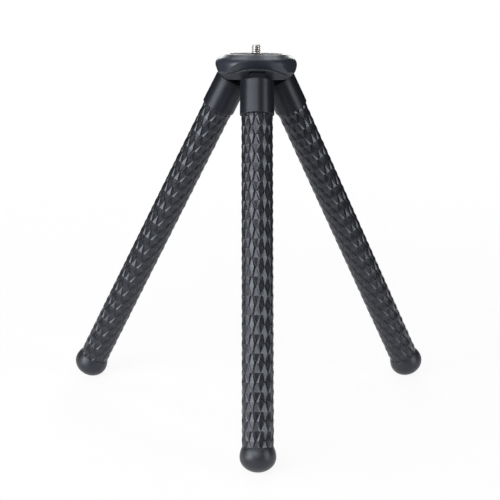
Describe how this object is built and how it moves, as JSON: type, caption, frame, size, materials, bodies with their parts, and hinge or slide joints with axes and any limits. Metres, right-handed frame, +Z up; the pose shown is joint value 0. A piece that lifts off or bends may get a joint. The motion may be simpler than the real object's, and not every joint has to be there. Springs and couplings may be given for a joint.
{
  "type": "flexible leg tripod",
  "caption": "Small table tripod: round hub with a camera screw, and bendable rubber-covered legs on hinges, with a diamond relief and round feet.",
  "frame": {"origin": "centre of the camera seat on top of the hub, on the camera screw's axis", "axes": "+Z up along the camera screw; -Y towards the front leg"},
  "size_m": [0.2764, 0.1861, 0.2865],
  "materials": {
    "casing_plastic": "satin",
    "lower_plastic": "matte",
    "ferrule_plastic": "satin",
    "sleeve_rubber": "matte",
    "foot_rubber": "matte",
    "pad_rubber": "matte",
    "screw_steel": "bright",
    "pin_steel": "plain",
    "core_aluminium": "plain"
  },
  "bodies": {
    "hub": {"hub_upper_casing": "casing_plastic", "hub_lower_casing": "lower_plastic", "top_pad": "pad_rubber", "camera_screw": "screw_steel", "casing_screws": "pin_steel", "front_hinge_pin": "pin_steel", "left_hinge_pin": "pin_steel", "right_hinge_pin": "pin_steel"},
    "front_leg_1": {"front_ferrule": "ferrule_plastic", "front_core_collar": "pin_steel", "front_sleeve_1": "sleeve_rubber", "front_core_1": "core_aluminium"},
    "front_leg_2": {"front_sleeve_2": "sleeve_rubber", "front_core_2": "core_aluminium"},
    "front_leg_3": {"front_sleeve_3": "sleeve_rubber", "front_core_3": "core_aluminium"},
    "front_leg_4": {"front_sleeve_4": "sleeve_rubber", "front_core_4": "core_aluminium"},
    "front_leg_5": {"front_sleeve_5": "sleeve_rubber", "front_core_5": "core_aluminium", "front_foot": "foot_rubber", "front_core_end_cap": "lower_plastic"},
    "left_leg_1": {"left_ferrule": "ferrule_plastic", "left_core_collar": "pin_steel", "left_sleeve_1": "sleeve_rubber", "left_core_1": "core_aluminium"},
    "left_leg_2": {"left_sleeve_2": "sleeve_rubber", "left_core_2": "core_aluminium"},
    "left_leg_3": {"left_sleeve_3": "sleeve_rubber", "left_core_3": "core_aluminium"},
    "left_leg_4": {"left_sleeve_4": "sleeve_rubber", "left_core_4": "core_aluminium"},
    "left_leg_5": {"left_sleeve_5": "sleeve_rubber", "left_core_5": "core_aluminium", "left_foot": "foot_rubber", "left_core_end_cap": "lower_plastic"},
    "right_leg_1": {"right_ferrule": "ferrule_plastic", "right_core_collar": "pin_steel", "right_sleeve_1": "sleeve_rubber", "right_core_1": "core_aluminium"},
    "right_leg_2": {"right_sleeve_2": "sleeve_rubber", "right_core_2": "core_aluminium"},
    "right_leg_3": {"right_sleeve_3": "sleeve_rubber", "right_core_3": "core_aluminium"},
    "right_leg_4": {"right_sleeve_4": "sleeve_rubber", "right_core_4": "core_aluminium"},
    "right_leg_5": {"right_sleeve_5": "sleeve_rubber", "right_core_5": "core_aluminium", "right_foot": "foot_rubber", "right_core_end_cap": "lower_plastic"}
  },
  "joints": [
    {"name": "front_fold", "type": "hinge", "parent": "hub", "child": "front_leg_1", "pos_m": [0, -0.0156, -0.0117], "axis": [-1, 0, 0], "range_deg": [-15.8, 39.2]},
    {"name": "front_bend_1", "type": "hinge", "parent": "front_leg_1", "child": "front_leg_2", "pos_m": [0, -0.03667, -0.08618], "axis": [0, -0.9622, 0.2723], "range_deg": [-30, 30]},
    {"name": "front_bend_2", "type": "hinge", "parent": "front_leg_2", "child": "front_leg_3", "pos_m": [0, -0.04917, -0.13034], "axis": [1, 0, 0], "range_deg": [-30, 30]},
    {"name": "front_bend_3", "type": "hinge", "parent": "front_leg_3", "child": "front_leg_4", "pos_m": [0, -0.06167, -0.17451], "axis": [0, -0.9622, 0.2723], "range_deg": [-30, 30]},
    {"name": "front_bend_4", "type": "hinge", "parent": "front_leg_4", "child": "front_leg_5", "pos_m": [0, -0.07417, -0.21867], "axis": [1, 0, 0], "range_deg": [-30, 30]},
    {"name": "left_fold", "type": "hinge", "parent": "hub", "child": "left_leg_1", "pos_m": [-0.01351, 0.0078, -0.0117], "axis": [0.5, 0.866, 0], "range_deg": [-29, 26]},
    {"name": "left_bend_1", "type": "hinge", "parent": "left_leg_1", "child": "left_leg_2", "pos_m": [-0.04601, 0.02656, -0.0794], "axis": [-0.7574, 0.4373, 0.4848], "range_deg": [-30, 30]},
    {"name": "left_bend_2", "type": "hinge", "parent": "left_leg_2", "child": "left_leg_3", "pos_m": [-0.06528, 0.03769, -0.11954], "axis": [-0.5, -0.866, 0], "range_deg": [-30, 30]},
    {"name": "left_bend_3", "type": "hinge", "parent": "left_leg_3", "child": "left_leg_4", "pos_m": [-0.08455, 0.04881, -0.15969], "axis": [-0.7574, 0.4373, 0.4848], "range_deg": [-30, 30]},
    {"name": "left_bend_4", "type": "hinge", "parent": "left_leg_4", "child": "left_leg_5", "pos_m": [-0.10382, 0.05994, -0.19983], "axis": [-0.5, -0.866, 0], "range_deg": [-30, 30]},
    {"name": "right_fold", "type": "hinge", "parent": "hub", "child": "right_leg_1", "pos_m": [0.01351, 0.0078, -0.0117], "axis": [0.5, -0.866, 0], "range_deg": [-29, 26]},
    {"name": "right_bend_1", "type": "hinge", "parent": "right_leg_1", "child": "right_leg_2", "pos_m": [0.04601, 0.02656, -0.0794], "axis": [0.7574, 0.4373, 0.4848], "range_deg": [-30, 30]},
    {"name": "right_bend_2", "type": "hinge", "parent": "right_leg_2", "child": "right_leg_3", "pos_m": [0.06528, 0.03769, -0.11954], "axis": [-0.5, 0.866, 0], "range_deg": [-30, 30]},
    {"name": "right_bend_3", "type": "hinge", "parent": "right_leg_3", "child": "right_leg_4", "pos_m": [0.08455, 0.04881, -0.15969], "axis": [0.7574, 0.4373, 0.4848], "range_deg": [-30, 30]},
    {"name": "right_bend_4", "type": "hinge", "parent": "right_leg_4", "child": "right_leg_5", "pos_m": [0.10382, 0.05994, -0.19983], "axis": [-0.5, 0.866, 0], "range_deg": [-30, 30]}
  ]
}
